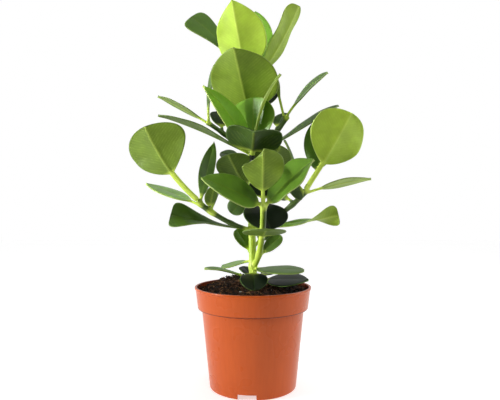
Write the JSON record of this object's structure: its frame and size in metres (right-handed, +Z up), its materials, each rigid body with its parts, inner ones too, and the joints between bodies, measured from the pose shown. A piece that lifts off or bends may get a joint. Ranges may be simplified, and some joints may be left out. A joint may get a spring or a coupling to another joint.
{
  "type": "potted clusia",
  "caption": "Branching clusia houseplant with thick rounded leaves on green stems, standing in soil in a round plastic nursery pot with a tall rim band.",
  "frame": {"origin": "middle of the pot's foot, on the pot's axis and on the surface that it stands on", "axes": "+Z up along the pot's axis; -Y is the plant's front, the side that the picture shows; +X is to the right in that view"},
  "size_m": [0.2414, 0.1563, 0.3991],
  "materials": {
    "pot_plastic": "satin terracotta-coloured thin plastic",
    "soil": "matt dark crumbly peat with reddish fibres",
    "stem": "smooth yellow-green young bark",
    "leaf": "glossy deep green above, paler and more matt below"
  },
  "bodies": {
    "root": {"pot": "pot_plastic", "soil": "soil", "stem": "stem", "leaf_crown_front": "leaf", "leaf_crown_back": "leaf", "leaf_crown_left": "leaf", "leaf_crown_right": "leaf", "leaf_high_front": "leaf", "leaf_high_back": "leaf", "leaf_middle_left": "leaf", "leaf_middle_right": "leaf", "leaf_middle_back": "leaf", "leaf_middle_front": "leaf", "leaf_middle_low": "leaf", "leaf_long_left": "leaf", "leaf_long_right": "leaf", "leaf_upper_left_out": "leaf", "leaf_upper_left_up": "leaf", "leaf_upper_left_inner": "leaf", "leaf_upper_left_back": "leaf", "leaf_upper_right_out": "leaf", "leaf_upper_right_up": "leaf", "leaf_upper_right_inner": "leaf", "leaf_left_paddle": "leaf", "leaf_left_out": "leaf", "leaf_left_back": "leaf", "leaf_left_inner": "leaf", "leaf_left_behind": "leaf", "leaf_left_low": "leaf", "leaf_right_paddle": "leaf", "leaf_right_back": "leaf", "leaf_right_out": "leaf", "leaf_right_up": "leaf", "leaf_right_inner": "leaf", "leaf_right_under": "leaf", "leaf_right_low": "leaf", "leaf_front_facing": "leaf", "leaf_front_left": "leaf", "leaf_front_right": "leaf", "leaf_front_back": "leaf", "leaf_front_level": "leaf", "leaf_trunk_front": "leaf", "leaf_trunk_front_left": "leaf", "leaf_trunk_front_right": "leaf", "leaf_trunk_back": "leaf", "leaf_trunk_back_left": "leaf", "leaf_trunk_hanging_left": "leaf", "leaf_small_left": "leaf", "leaf_small_front": "leaf", "leaf_small_right": "leaf", "leaf_soil_right": "leaf", "leaf_soil_left": "leaf", "leaf_soil_low_right": "leaf", "leaf_soil_low_left": "leaf", "leaf_soil_front": "leaf", "leaf_soil_back": "leaf", "leaf_soil_back_left": "leaf"}
  },
  "joints": []
}
